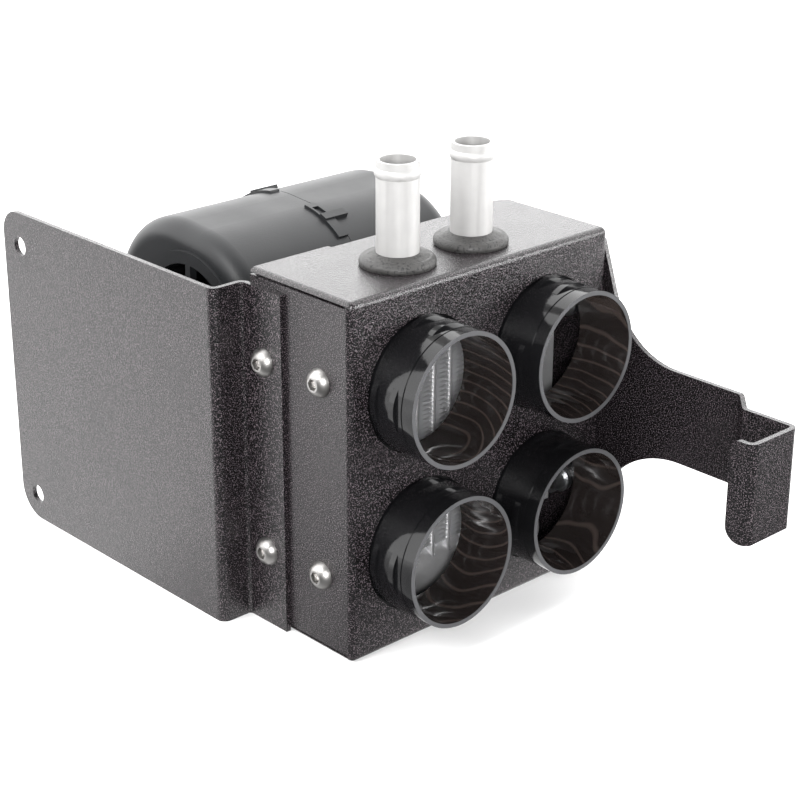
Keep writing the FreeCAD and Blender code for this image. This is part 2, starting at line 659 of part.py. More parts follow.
def build_right_bracket():
    """Side plate that sweeps forward into a narrow arm, jogs inward and ends in a J-shaped hook."""
    bracket = body("right_bracket")
    outside = case_right + bracket_sheet
    rear = case_back - bracket_sheet
    jog_near = case_front - jog_start
    jog_far = case_front - jog_end
    jog_run = jog_end - jog_start
    mitre = bracket_sheet * (root(jog_run * jog_run + jog_inward * jog_inward) - jog_run) / jog_inward
    hook_inner = case_right - jog_inward
    hook_outer = outside - jog_inward
    hook_face = case_front - hook_front
    lip_outer = hook_outer - hook_width
    lip_end = hook_face + hook_lip
    strip = [
        (case_right, rear),
        (case_right, jog_near),
        (hook_inner, jog_far),
        (hook_inner, hook_face + bracket_sheet),
        (lip_outer + bracket_sheet, hook_face + bracket_sheet),
        (lip_outer + bracket_sheet, lip_end),
        (lip_outer, lip_end),
        (lip_outer, hook_face),
        (hook_outer, hook_face),
        (hook_outer, jog_far - mitre),
        (outside, jog_near - mitre),
        (outside, rear),
    ]
    pad(bracket, "strip", "z", [strip], 0, bracket_height)
    tight = upright_at(
        [
            (hook_inner, hook_face + bracket_sheet),
            (lip_outer + bracket_sheet, hook_face + bracket_sheet),
            (case_right, jog_near),
            (hook_outer, jog_far - mitre),
        ]
    )
    round_edges(bracket, "inside_bends", bend_inside, tight)
    wide = upright_at(
        [
            (hook_outer, hook_face),
            (lip_outer, hook_face),
            (hook_inner, jog_far),
            (outside, jog_near - mitre),
        ]
    )
    round_edges(bracket, "outside_bends", bend_inside + bracket_sheet, wide)

    lean_out = cosine(arm_sweep_angle)
    lean_up = sine(arm_sweep_angle)
    beyond = hook_face - JOIN
    above = bracket_height + JOIN
    top_start = case_front - arm_top_start
    top_end = top_start + arm_top_sweep * lean_up
    top_end_height = arm_top + arm_top_sweep * (1 - lean_out)
    over_arm = [
        (top_end + (above - top_end_height) * lean_out / lean_up, above),
        (top_end, top_end_height, -arm_top_sweep),
        (top_start, arm_top),
        (jog_near, arm_top),
        (jog_far, hook_top),
        (beyond, hook_top),
        (beyond, above),
    ]
    bottom_start = case_front - arm_bottom_start
    bottom_end = bottom_start + arm_bottom_sweep * lean_up
    bottom_end_height = arm_bottom - arm_bottom_sweep * (1 - lean_out)
    under_arm = [
        (bottom_end + (bottom_end_height + JOIN) * lean_out / lean_up, -as_size(JOIN)),
        (bottom_end, bottom_end_height, arm_bottom_sweep),
        (bottom_start, arm_bottom),
        (jog_near, arm_bottom),
        (jog_far, hook_bottom),
        (beyond, hook_bottom),
        (beyond, -as_size(JOIN)),
    ]
    pocket(bracket, "side_shape", "x", [over_arm, under_arm], lip_outer - JOIN, outside + JOIN)
    drill = screw_radius + screw_clearance
    screws = [(y, z, drill) for y in screw_columns for z in screw_rows]
    pocket(bracket, "screw_holes", "x", screws, case_right, outside)
    upper = edge_through("x", [(lip_end, hook_top)])
    round_edges(bracket, "upper_lip_corner", hook_corner_high, upper)
    lower = edge_through("x", [(lip_end, hook_bottom)])
    round_edges(bracket, "lower_lip_corner", hook_corner_low, lower)
    return keep(bracket, "right_bracket")


# ---- air spigots --------------------------------------------------------------------------------


def build_spigot(name, x, z):
    """Round duct spigot: a thin tube with an inner flange and two rings of hose-retaining lenses."""
    spigot = body(name)
    bore = spigot_radius - spigot_wall
    rim = case_front - spigot_reach
    groove = rim + rim_band
    profile = [
        (bore, rim),
        (spigot_radius, rim),
        (spigot_radius, groove),
        (spigot_radius - rim_step, groove),
        (spigot_radius - rim_step, groove + rim_step * 2),
        (spigot_radius, groove + rim_step * 2),
        (spigot_radius, inner_front),
        (spigot_radius + spigot_flange, inner_front),
        (spigot_radius + spigot_flange, inner_front + spigot_wall),
        (bore, inner_front + spigot_wall),
    ]
    turn(spigot, name + "_tube", "y", profile)
    lens_centre = spigot_radius + bead_height - bead_radius
    for ring, gap in (("near", lens_gap), ("far", lens_gap + lens_pitch)):
        back = case_front - gap
        lens = (0, lens_centre, bead_radius)
        first = pad(spigot, f"{name}_{ring}_lens", "y", [lens], back - bead_width, back)
        polar(spigot, f"{name}_{ring}_lenses", first, "y", 4)
    pocket(spigot, name + "_bore", "y", [(0, 0, bore)], rim, inner_front + spigot_wall)
    place(spigot, x, 0, z)
    return keep(spigot, name)


# ---- heater core --------------------------------------------------------------------------------

header_half = core_half + core_side_sheet
tube_end = header_radius / 2
tube_places = [tube_pitch * (i - (tube_count - 1) / 2) for i in range(tube_count)]


def build_header(name, height, toward_core):
    """Round tank with rounded ends and a slot for each flat tube."""
    header = body(name)
    nose = header_radius / 3
    outside = [
        (-header_half, 0),
        (-header_half, header_radius - nose, -nose),
        (nose - header_half, header_radius),
        (header_half - nose, header_radius, -nose),
        (header_half, header_radius - nose),
        (header_half, 0),
    ]
    turn(header, name + "_shell", "x", outside)
    reach = header_half - header_wall
    hollow = rectangle((-reach, 0), (reach, header_radius - header_wall))
    turn(header, name + "_hollow", "x", hollow, "Groove")
    depth = tube_depth / 2
    slots = [
        rectangle((x - tube_thick / 2, -depth), (x + tube_thick / 2, depth)) for x in tube_places
    ]
    outer_end = toward_core * (header_radius + JOIN)
    pocket(header, name + "_slots", "z", slots, toward_core * tube_end, outer_end)
    if toward_core < 0:
        holes = [(x, 0, pipe_radius) for x in pipe_places.values()]
        pocket(header, name + "_pipe_holes", "z", holes, tube_end, header_radius + JOIN)
    place(header, 0, core_back, height)
    return keep(header, name)


def build_header_baffle():
    """Disc in the upper tank that sends the coolant down one half of the core and up the other."""
    baffle = rod(
        "header_baffle",
        "x",
        header_radius - header_wall,
        -(header_wall / 2),
        header_wall / 2,
        (core_back, header_high),
    )
    return keep(baffle, "header_baffle")


def flat_tube_outline(inset):
    half = tube_thick / 2 - inset
    straight = (tube_depth - tube_thick) / 2
    nose = tube_nose - inset
    return [(-half, -straight, nose), (half, -straight), (half, straight, nose), (-half, straight)]


def build_core_tubes():
    tubes = []
    for index, x in enumerate(tube_places):
        tube = body(f"flat_tube_{index}")
        shapes = [flat_tube_outline(as_size(0)), flat_tube_outline(tube_wall)]
        pad(tube, f"flat_tube_{index}_wall", "z", shapes, header_low + tube_end, header_high - tube_end)
        tubes.append(place(tube, x, core_back, 0))
    return keep(group("core_tubes", tubes), "core_tubes")


def build_core_fins():
    """Folded fin strips: each fills the space between two flat tubes, or a tube and a side plate."""
    width = tube_pitch - tube_thick
    pitch = (fin_length - fin_sheet * 2) / fin_cells
    left = -(width / 2)
    right = width / 2
    half_sheet = fin_sheet / 2
    fold = [
        (left, -half_sheet),
        (right, pitch / 2 - half_sheet),
        (right, pitch / 2 + half_sheet),
        (left, pitch + half_sheet),
        (left, pitch - half_sheet),
        (left + width * (1 - fin_sheet / pitch), pitch / 2),
        (left, half_sheet),
    ]
    strips = []
    for index in range(tube_count + 1):
        name = f"fin_strip_{index}"
        strip = body(name)
        depth = tube_depth / 2
        first = pad(strip, name + "_fold", "y", [fold], -depth, depth)
        folds = strip.newObject("PartDesign::LinearPattern", name + "_folds")
        folds.Originals = [first]
        folds.Direction = (first.Profile[0], ["V_Axis"])
        folds.Occurrences = fin_cells
        bind(folds, "Length", pitch * (fin_cells - 1))
        strip.Tip = folds
        x = tube_pitch * (index - tube_count / 2)
        strips.append(place(strip, x, core_back, fin_low + fin_sheet))
    return keep(group("core_fins", strips), "core_fins")


def build_core_side(side, name):
    """Channel plate that closes one side of the core, its two lips turned outward."""
    plate = body(name)
    depth = tube_depth / 2
    inner = side * core_half
    outer = side * (core_half + core_side_sheet)
    lip = side * (core_half + core_side_lip)
    section = [
        (inner, core_back - depth),
        (lip, core_back - depth),
        (lip, core_back - depth + core_side_sheet),
        (outer, core_back - depth + core_side_sheet),
        (outer, core_back + depth - core_side_sheet),
        (lip, core_back + depth - core_side_sheet),
        (lip, core_back + depth),
        (inner, core_back + depth),
    ]
    pad(plate, name + "_section", "z", [section], fin_low, fin_low + fin_length)
    return keep(plate, name)


def build_core_bracket(side, name):
    """Angle that holds the core: one leg on the case side, one behind the core's edge."""
    bracket = body(name)
    outer = side * inner_right
    base = side * (inner_right - case_sheet)
    edge = side * core_half
    leg_front = core_bracket_rear - case_sheet
    section = [
        (outer, core_bracket_front),
        (outer, core_bracket_rear),
        (edge, core_bracket_rear),
        (edge, leg_front),
        (base, leg_front),
        (base, core_bracket_front),
    ]
    low = case_sheet + seam_slit
    pad(bracket, name + "_section", "z", [section], low, inner_top - seam_slit)
    drill = screw_radius + screw_clearance
    screws = [(screw_columns[0], z, drill) for z in screw_rows]
    pocket(bracket, name + "_holes", "x", screws, base, outer)
    return keep(bracket, name)


def build_core_seals():
    """Foam strips between the core's rear edges and the two core brackets."""
    strips = []
    for side, name in ((-1, "left"), (1, "right")):
        places = sorted((side * core_half, side * (core_half + core_side_lip)), key=lambda x: x.number)
        low = (places[0], core_back + tube_depth / 2, fin_low)
        high = (places[1], core_bracket_rear - case_sheet, fin_low + fin_length)
        strips.append(box(f"{name}_seal", low, high))
    return keep(group("core_seals", strips), "core_seals")


def build_core_pad():
    """Foam pad that the lower tank rests on."""
    depth = core_pad_depth / 2
    low = (-core_pad_half, core_back - depth, case_sheet)
    high = (core_pad_half, core_back + depth, header_low - header_radius)
    return keep(box("core_pad", low, high), "core_pad")


def build_pipe(name, x):
    """Hose pipe with a rolled bead near its open end."""
    pipe = body(name)
    low = header_high + tube_end
    bore = pipe_radius - pipe_wall
    bead_middle = pipe_top - pipe_bead_drop
    half = pipe_bead_width / 2
    bead_curve = (half * half + pipe_bead * pipe_bead) / (pipe_bead * 2)
    profile = [
        (bore, low),
        (pipe_radius, low),
        (pipe_radius, bead_middle - half, bead_curve),
        (pipe_radius, bead_middle + half),
        (pipe_radius, pipe_top),
        (bore, pipe_top),
    ]
    turn(pipe, name + "_wall", "z", profile)
    place(pipe, x, core_back, 0)
    return keep(pipe, name)


def build_grommet(name, x):
    """Rubber ring that seals a hose pipe in the top plate."""
    grommet = body(name)
    flange = grommet_radius - grommet_lip
    low = inner_top - grommet_lip * 2
    profile = [
        (pipe_radius, low),
        (flange, low),
        (flange, inner_top),
        (grommet_neck, inner_top),
        (grommet_neck, case_height),
        (flange, case_height, grommet_bulge),
        (grommet_radius - grommet_slope, case_height + grommet_edge),
        (pipe_radius + grommet_lip, case_height + grommet_rise),
        (pipe_radius, case_height + grommet_rise),
    ]
    turn(grommet, name + "_ring", "z", profile)
    place(grommet, x, core_back, 0)
    return keep(grommet, name)


# ---- fasteners ----------------------------------------------------------------------------------


def hexagon(y, z, across_flats):
    reach = across_flats / math.sqrt(3)
    corners = []
    for step in range(6):
        angle = math.radians(60 * step)
        corners.append((y + reach * round(math.cos(angle), 6), z + reach * round(math.sin(angle), 6)))
    return corners


def build_side_screws(name, side, seat, columns):
    """Button-head screws with a hex socket, through the case side into rivet nuts."""
    screws = []
    tip = side * (inner_right - case_sheet - nut_length + screw_short)
    crown = seat + screw_crown
    for row, z in enumerate(screw_rows):
        for column, y in enumerate(columns):
            screw = body(f"{name}_{row}_{column}")
            profile = [
                (tip, 0),
                (tip, screw_radius),
                (side * seat, screw_radius),
                (side * seat, screw_head, -side * screw_curve),
                (side * crown, screw_head / 2),
                (side * crown, 0),
            ]
            turn(screw, f"{screw.Name}_turned", "x", profile)
            depth = side * (crown - screw_socket_depth)
            socket = hexagon(as_size(0), as_size(0), screw_socket)
            pocket(screw, f"{screw.Name}_socket", "x", [socket], side * crown, depth)
            screws.append(place(screw, 0, y, z))
    return keep(group(name, screws), name)


def build_rivet_nuts(name, side):
    """Rivet nuts set in the core bracket and in the rear panel's flange."""
    nuts = []
    start = side * (inner_right - case_sheet)
    bulge_end = start - side * nut_bulge * 2
    end = start - side * nut_length
    for row, z in enumerate(screw_rows):
        for column, y in enumerate(screw_columns):
            nut = body(f"{name}_{row}_{column}")
            profile = [
                (start, screw_radius),
                (start, nut_radius + nut_bulge),
                (bulge_end, nut_radius + nut_bulge),
                (bulge_end, nut_radius),
                (end, nut_radius),
                (end, screw_radius),
            ]
            turn(nut, f"{nut.Name}_turned", "x", profile)
            nuts.append(place(nut, 0, y, z))
    return keep(group(name, nuts), name)


def build_flange_screws():
    """Cross-head screws that hold the blower flange and its gasket to the rear panel."""
    screws = []
    seat = case_back + flange_back
    top = seat + flange_screw_crown
    tip = case_back - case_sheet * 3
    for index, (x, z) in enumerate(flange_screw_places()):
        screw = body(f"flange_screw_{index}")
        profile = [
            (0, tip),
            (flange_screw_radius, tip),
            (flange_screw_radius, seat),
            (flange_screw_head, seat, flange_screw_head),
            (flange_screw_head / 2, top),
            (0, top),
        ]
        turn(screw, f"{screw.Name}_turned", "y", profile)
        arm = flange_screw_head / 2
        half = flange_screw_head / 9
        cross = [
            (-arm, -half), (-half, -half), (-half, -arm), (half, -arm), (half, -half), (arm, -half),
            (arm, half), (half, half), (half, arm), (-half, arm), (-half, half), (-arm, half),
        ]
        pocket(screw, f"{screw.Name}_cross", "y", [cross], top - arm / 2, top)
        screws.append(place(screw, x, 0, z))
    return keep(group("flange_screws", screws), "flange_screws")


# ---- blower -------------------------------------------------------------------------------------


def scroll_outline(inset, front):
    """Side view of the scroll and its straight duct, seen about the shaft."""
    low = duct_low + inset
    reach = blower_radius + scroll_growth - inset
    return [
        (front, low),
        (-scroll_growth, low, reach),
        (blower_radius - inset, 0),
        (0, 0),
        (0, -duct_high - inset),
        (front, -duct_high - inset),
    ]


def drum_outline(inset):
    """Side view of the drum: a front and a rear half circle about two centres, joined by tangents."""
    radius = blower_radius - inset
    apart = root(drum_back * drum_back + drum_rise * drum_rise)
    back = radius * drum_back / apart
    rise = radius * drum_rise / apart
    return [
        (rise, -back),
        (drum_back + rise, drum_rise - back, radius),
        (drum_back + back, drum_rise + rise, radius),
        (drum_back - rise, drum_rise + back),
        (-rise, back, radius),
        (-back, -rise, radius),
    ]


def at_shaft(item):
    return place(item, 0, axis_back, blower_height)


def build_drum(name, side, start, inset):
    """One half of the drum, solid, from the seam to its rounded shoulder."""
    drum = body(name)
    end = side * (blower_half - inset)
    pad(drum, name + "_block", "x", [drum_outline(as_size(inset))], start, end)

    def wanted(edge):
        return all(near(vertex.Point.x, end) for vertex in edge.Vertexes)

    round_edges(drum, name + "_shoulder", blower_shoulder - inset, wanted)
    return at_shaft(drum)


def build_housing(name, side):
    """One half of the blower housing: a rounded drum that runs into a scroll, a duct and a flange."""
    seam = seam_across + side * housing_seam / 2
    flange_front = duct_front - flange_sheet
    drum = build_drum(name + "_drum", side, seam, 0)
    duct = body(name + "_duct")
    pad(duct, name + "_scroll", "x", [scroll_outline(as_size(0), duct_front)], seam, side * scroll_half)
    round_edges(duct, name + "_scroll_edges", scroll_round, scroll_edges(side))
    edge = side * (scroll_half + flange_margin)
    xs = sorted((seam, edge), key=lambda x: x.number)
    flange = rectangle((xs[0], duct_low - flange_margin), (xs[1], flange_margin - duct_high))
    pad(duct, name + "_flange", "y", [flange], flange_front, duct_front)
    holes = [
        (x, z - blower_height, flange_screw_radius)
        for x, z in flange_screw_places()
        if x.number * side > 0
    ]
    pocket(duct, name + "_screw_holes", "y", holes, flange_front, duct_front)
    at_shaft(duct)

    past_seam = seam - side * JOIN
    hollow = build_drum(name + "_hollow", side, past_seam, housing_wall)
    passage = body(name + "_passage")
    outline = scroll_outline(housing_wall, flange_front - JOIN)
    pad(passage, name + "_air", "x", [outline], past_seam, side * (scroll_half - housing_wall))
    at_shaft(passage)
    ends = (side * (blower_half - housing_wall - JOIN), side * (blower_half + JOIN))
    low, high = sorted(ends, key=lambda x: x.number)
    inlet = rod(name + "_inlet", "x", inlet_radius, low, high, (axis_back, blower_height))
    whole = fuse(name + "_whole", [drum, duct])
    return keep(cut(name, whole, [hollow, passage, inlet]), name)


def scroll_edges(side):
    """Accept the outer edges of the scroll, but not the two that the drum will swallow."""

    def wanted(edge):
        ends = [vertex.Point for vertex in edge.Vertexes]
        if any(not near(end.x, side * scroll_half) for end in ends):
            return False
        touches_shaft = any(near(end.y, 0) and near(end.z, 0) for end in ends)
        all_in_front = all(near(end.y, duct_front) for end in ends)
        return not touches_shaft and not all_in_front

    return wanted


def build_inlet_guard(name, side):
    """Ring that lines an air inlet, with a hub on four struts."""
    guard = body(name)
    inner = side * (blower_half - housing_wall)
    face = side * blower_half
    proud = side * (blower_half + guard_rise)
    bore = inlet_radius - guard_wall
    profile = [
        (inner, bore),
        (inner, inlet_radius),
        (face, inlet_radius),
        (face, guard_radius),
        (proud, guard_radius),
        (proud, bore),
    ]
    turn(guard, name + "_ring", "x", profile)
    half = guard_strut / 2
    reach = bore + guard_wall / 2
    strut_inner = side * (blower_half - guard_rise)
    bars = [rectangle((-half, -reach), (half, reach))]
    pad(guard, name + "_upright_bar", "x", bars, strut_inner, proud)
    level = [rectangle((-reach, -half), (reach, half))]
    pad(guard, name + "_level_bar", "x", level, strut_inner, proud)
    pad(guard, name + "_hub", "x", [(0, 0, guard_hub)], strut_inner, proud)
    at_shaft(guard)
    return keep(guard, name)


def build_seam_clip(name, angle):
    """A curved strip on the drum, with a window and a bar that hooks across the seam."""
    clip = body(name)
    right = seam_across - housing_seam / 2
    left = right - clip_width
    strip = rectangle((left, blower_radius), (right, blower_radius + clip_rise))
    turn(clip, name + "_strip", "x", strip, angle=clip_span)
    half = clip_bar / 2
    window = rectangle(
        (left + clip_frame, -(half + clip_window)), (right - clip_frame, -half)
    )
    above = blower_radius + clip_rise
    pocket(clip, name + "_window", "y", [window], blower_radius - clip_bar, above)
    bar = rectangle((left, -half), (seam_across + clip_reach, half))
    pad(clip, name + "_bar", "y", [bar], blower_radius, blower_radius + clip_bar_rise)
    turned = FreeCAD.Rotation(FreeCAD.Vector(1, 0, 0), angle)
    clip.Placement = FreeCAD.Placement(FreeCAD.Vector(), turned)
    return clip


def build_seam_clips():
    """Snap latches that hold the two housing halves together along the seam."""
    clips = []
    for angle in front_clip_angles:
        clips.append(at_shaft(build_seam_clip(f"seam_clip_{len(clips)}", angle)))
    for angle in rear_clip_angles:
        clip = build_seam_clip(f"seam_clip_{len(clips)}", angle)
        clips.append(place(clip, 0, axis_back + drum_back, blower_height + drum_rise))
    return keep(group("seam_clips", clips), "seam_clips")


def build_blower_gasket():
    """Foam frame between the rear panel and the blower flange."""
    gasket = body("blower_gasket")
    edge = scroll_half + flange_margin
    low = blower_height + duct_low
    high = blower_height - duct_high
    opening = scroll_half - housing_wall
    frame = [
        rectangle((-edge, low - flange_margin), (edge, high + flange_margin)),
        rectangle((-opening, low + housing_wall), (opening, high - housing_wall)),
    ]
    holes = [(x, z, flange_screw_radius) for x, z in flange_screw_places()]
    pad(gasket, "gasket_frame", "y", frame + holes, case_back, case_back + gasket_sheet)
    return keep(gasket, "blower_gasket")


def build_power_socket():
    """Two-way connector shell under the duct, open towards the back."""
    shell = body("power_socket")
    right = -(socket_width / 2)
    left = right - socket_width
    low = duct_low - socket_drop
    front = -socket_ahead
    back = front + socket_width
    pad(shell, "shell_block", "z", [rectangle((left, front), (right, back))], low, duct_low)
    cavity = rectangle(
        (left + socket_wall, low + socket_wall), (right - socket_wall, duct_low - socket_wall)
    )
    pocket(shell, "shell_cavity", "y", [cavity], front + socket_wall, back)
    at_shaft(shell)
    blades = []
    middle = (left + right) / 2
    blade_x = axis_back + front + socket_wall
    for side in (-1, 1):
        x = middle + side * socket_width / 5
        z = blower_height + duct_low - socket_drop / 2
        low_corner = (x - pin_half, blade_x, z - pin_half * 2)
        high_corner = (x + pin_half, blade_x + socket_width / 2, z + pin_half * 2)
        blades.append(box(f"socket_pin_{side + 1}", low_corner, high_corner))
    keep(shell, "power_socket")
    return keep(group("socket_pins", blades), "socket_pins")


def ring(name, inner, outer, start, end):
    """A turned ring about the blower shaft."""
    item = body(name)
    turn(item, name + "_ring", "x", rectangle((start, inner), (end, outer)))
    return at_shaft(item)


def build_motor():
    """Permanent-magnet motor: can, end caps, bushes, magnets, brushes, and the cradle round it."""
    bore = motor_radius - motor_wall
    keep(ring("motor_can", bore, motor_radius, -motor_half, motor_half), "motor_can")
    for side, hand in ((-1, "left"), (1, "right")):
        inner, outer = sorted((side * motor_half, side * (motor_half + motor_cap)), key=lambda x: x.number)
        name = f"motor_cap_{hand}"
        keep(ring(name, bush_radius, motor_radius, inner, outer), name)
        ends = (side * (motor_half + motor_cap - bush_length), side * (motor_half + motor_cap + bush_proud))
        low, high = sorted(ends, key=lambda x: x.number)
        name = f"shaft_bush_{hand}"
        keep(ring(name, shaft_radius + bush_clearance, bush_radius, low, high), name)
    magnets = []
    for side in (-1, 1):
        magnet = body(f"magnet_{side + 1}")
        section = rectangle((-magnet_half, side * (bore - magnet_thick)), (magnet_half, side * bore))
        turn(magnet, f"{magnet.Name}_arc", "x", section, angle=magnet_span)
        magnets.append(at_shaft(magnet))
    keep(group("motor_magnets", magnets), "motor_magnets")

    plate_end = motor_half - motor_cap / 2
    plate_start = plate_end - case_sheet
    brush_bore = commutator_radius + brush_gap
    plate = ring("brush_plate", brush_bore + 1, bore, plate_start, plate_end)
    keep(plate, "brush_plate")
    brushes = []
    for side in (-1, 1):
        low, high = sorted((side * brush_bore, side * brush_reach), key=lambda x: x.number)
        bar = body(f"brush_{side + 1}")
        section = rectangle((low, -brush_half), (high, brush_half))
        pad(bar, f"{bar.Name}_bar", "x", [section], plate_start - brush_half * 2, plate_start)
        brushes.append(at_shaft(bar))
    keep(group("motor_brushes", brushes), "motor_brushes")

    sleeve_outer = motor_radius + sleeve_thick
    keep(ring("motor_sleeve", motor_radius, sleeve_outer, -cradle_sheet, cradle_sheet), "motor_sleeve")
    half = cradle_sheet / 2
    cradle = body("motor_cradle")
    shapes = [drum_outline(housing_wall), (0, 0, sleeve_outer)]
    pad(cradle, "cradle_plate", "x", shapes, -half, half)
    keep(at_shaft(cradle), "motor_cradle")


def build_rotor():
    """Everything that spins: shaft, armature, commutator, both wheels and their clips."""
    shaft = rod("motor_shaft", "x", shaft_radius, -shaft_half, shaft_half, (axis_back, blower_height))
    keep(shaft, "motor_shaft")
    bore = motor_radius - motor_wall
    armature_radius = bore - magnet_thick - air_gap
    stack = body("armature_core")
    half = stack_half
    turn(stack, "stack", "x", rectangle((-half, shaft_radius), (half, armature_radius)))
    mouth = armature_radius / 10
    slot = rectangle((-mouth, stack_slot_floor), (mouth, armature_radius + JOIN))
    first = pocket(stack, "stack_slot", "x", [slot], -half, half)
    polar(stack, "stack_slots", first, "x", 5)
    at_shaft(stack)
    keep(stack, "armature_core")
    coils = []
    coil_end = half + coil_length
    for side in (-1, 1):
        low, high = sorted((side * half, side * coil_end), key=lambda x: x.number)
        coils.append(ring(f"coil_{side + 1}", shaft_radius, coil_radius, low, high))
    keep(group("armature_windings", coils), "armature_windings")
    end = motor_half - motor_cap
    keep(ring("commutator", shaft_radius, commutator_radius, coil_end, end), "commutator")
    for side, hand in ((-1, "left"), (1, "right")):
        build_wheel(f"blower_wheel_{hand}", side)
    clips = []
    for side in (-1, 1):
        low, high = sorted(
            (side * wheel_hub_end, side * (wheel_hub_end + wheel_plate)), key=lambda x: x.number
        )
        clips.append(ring(f"wheel_clip_{side + 1}", shaft_radius, wheel_hub, low, high))
    keep(group("wheel_clips", clips), "wheel_clips")


def build_wheel(name, side):
    """Squirrel-cage wheel: a dished web that clears the motor, thin blades and a front ring."""
    wheel = body(name)
    dish = motor_radius + wheel_dish_gap
    web_end = wheel_web + wheel_plate
    plate_end = wheel_inner + wheel_plate
    profile = [
        (side * wheel_web, shaft_radius),
        (side * wheel_web, dish),
        (side * wheel_inner, dish),
        (side * wheel_inner, wheel_radius),
        (side * wheel_outer, wheel_radius),
        (side * wheel_outer, wheel_eye),
        (side * plate_end, wheel_eye),
        (side * plate_end, dish + wheel_plate),
        (side * web_end, dish + wheel_plate),
        (side * web_end, wheel_hub),
        (side * wheel_hub_end, wheel_hub),
        (side * wheel_hub_end, shaft_radius),
    ]
    turn(wheel, name + "_cage", "x", profile)
    pitch_angle = 360 / blade_count
    blade_angle = blade_sheet / wheel_eye * (180 / math.pi)
    slot_angle = pitch_angle - blade_angle
    near_radius = wheel_eye - JOIN
    far_radius = wheel_radius + JOIN
    slot = [
        (near_radius * cosine(slot_angle / 2), -near_radius * sine(slot_angle / 2)),
        (far_radius * cosine(blade_sweep), far_radius * sine(blade_sweep)),
        (far_radius * cosine(blade_sweep + slot_angle), far_radius * sine(blade_sweep + slot_angle)),
        (near_radius * cosine(slot_angle / 2), near_radius * sine(slot_angle / 2)),
    ]
    ring_start = wheel_outer - wheel_plate
    first = pocket(wheel, name + "_slot", "x", [slot], side * plate_end, side * ring_start)
    polar(wheel, name + "_slots", first, "x", blade_count)
    at_shaft(wheel)
    return keep(wheel, name)


# ---- the whole heater ---------------------------------------------------------------------------


def build_heater():
    build_front_case()
    build_rear_panel()
    build_left_bracket()
    build_right_bracket()
    for name, (x, z) in spigot_places.items():
        build_spigot(name, x, z)
    build_header("core_top_tank", header_high, -1)
    build_header("core_bottom_tank", header_low, 1)
    build_header_baffle()
    build_core_tubes()
    build_core_fins()
    for side, hand in ((-1, "left"), (1, "right")):
        build_core_side(side, f"core_side_{hand}")
        build_core_bracket(side, f"core_bracket_{hand}")
        build_rivet_nuts(f"rivet_nuts_{hand}", side)
        build_housing(f"blower_housing_{hand}", side)
        build_inlet_guard(f"inlet_ring_{hand}", side)
    build_core_seals()
    build_core_pad()
    for name, x in pipe_places.items():
        build_pipe(f"{name}_pipe", x)
        build_grommet(f"{name}_grommet", x)
    outside = case_right + bracket_sheet
    build_side_screws("case_screws_left", -1, case_right, screw_columns[:1])
    build_side_screws("bracket_screws_left", -1, outside, screw_columns[1:])
    build_side_screws("bracket_screws_right", 1, outside, screw_columns)
    build_flange_screws()
    build_seam_clips()
    build_blower_gasket()
    build_power_socket()
    build_motor()
    build_rotor()


def check_document():
    """Stop if anything in the document failed to build."""
    document.recompute()
    for item in document.Objects:
        if "Invalid" in item.State or "Error" in item.State:
            raise RuntimeError(f"{item.Name} did not build: {item.State}")
    for item in nodes:
        if item.Shape.isNull() or not item.Shape.isValid() or item.Shape.Volume <= 0:
            raise RuntimeError(f"{item.Label} has no valid solid")


build_heater()
check_document()
os.makedirs("parts", exist_ok=True)
for item in nodes:
    item.Shape.exportStep(f"parts/{item.Label}.step")
    print(f"{item.Label}: {len(item.Shape.Solids)} solids, {item.Shape.Volume:.0f} mm3")
print(f"{len(nodes)} sub-parts written")
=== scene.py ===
# %% [markdown]
# A cab heater in Blender
#
# This script dresses a finished engineering model: a steel case with four air spigots, two hose
# pipes, a twin blower behind and a mounting bracket on each side. They are never moved. Blender's
# job is the surface of everything, and the fine shapes that an engineering model leaves plain.

# %% Load the frame
import json
import math

import bpy
from mathutils import Matrix, Vector


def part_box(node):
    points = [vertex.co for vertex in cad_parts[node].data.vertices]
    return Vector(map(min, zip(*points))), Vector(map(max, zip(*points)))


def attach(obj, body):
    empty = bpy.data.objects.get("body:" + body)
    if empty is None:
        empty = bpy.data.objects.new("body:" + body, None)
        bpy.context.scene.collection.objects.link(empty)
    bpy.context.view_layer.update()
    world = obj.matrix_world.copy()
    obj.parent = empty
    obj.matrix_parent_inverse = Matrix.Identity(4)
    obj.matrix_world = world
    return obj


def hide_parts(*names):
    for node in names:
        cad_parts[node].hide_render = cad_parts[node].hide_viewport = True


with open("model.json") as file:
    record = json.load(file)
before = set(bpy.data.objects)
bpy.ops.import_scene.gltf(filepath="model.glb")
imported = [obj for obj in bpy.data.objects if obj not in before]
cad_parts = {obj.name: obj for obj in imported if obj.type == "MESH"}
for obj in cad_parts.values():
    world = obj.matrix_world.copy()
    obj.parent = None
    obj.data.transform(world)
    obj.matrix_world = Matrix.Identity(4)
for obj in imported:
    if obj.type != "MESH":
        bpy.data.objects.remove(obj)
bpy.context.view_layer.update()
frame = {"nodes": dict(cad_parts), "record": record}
nodes = frame["nodes"]
MM = 0.001

# %% [markdown]
# The camera stands in front of the left corner and looks down a little, through a long lens. A
# long lens keeps the four round spigots from swelling towards the viewer. A camera that isn't
# turned looks straight down, so its pitch is measured up from there.

# %% Camera
CAMERA_PLACE = Vector((-482.7, -501.4, 364.8)) * MM
CAMERA_TURN = -42.862
CAMERA_DROP = 22.367
CAMERA_ROLL = 0.186
LENS = 88.61

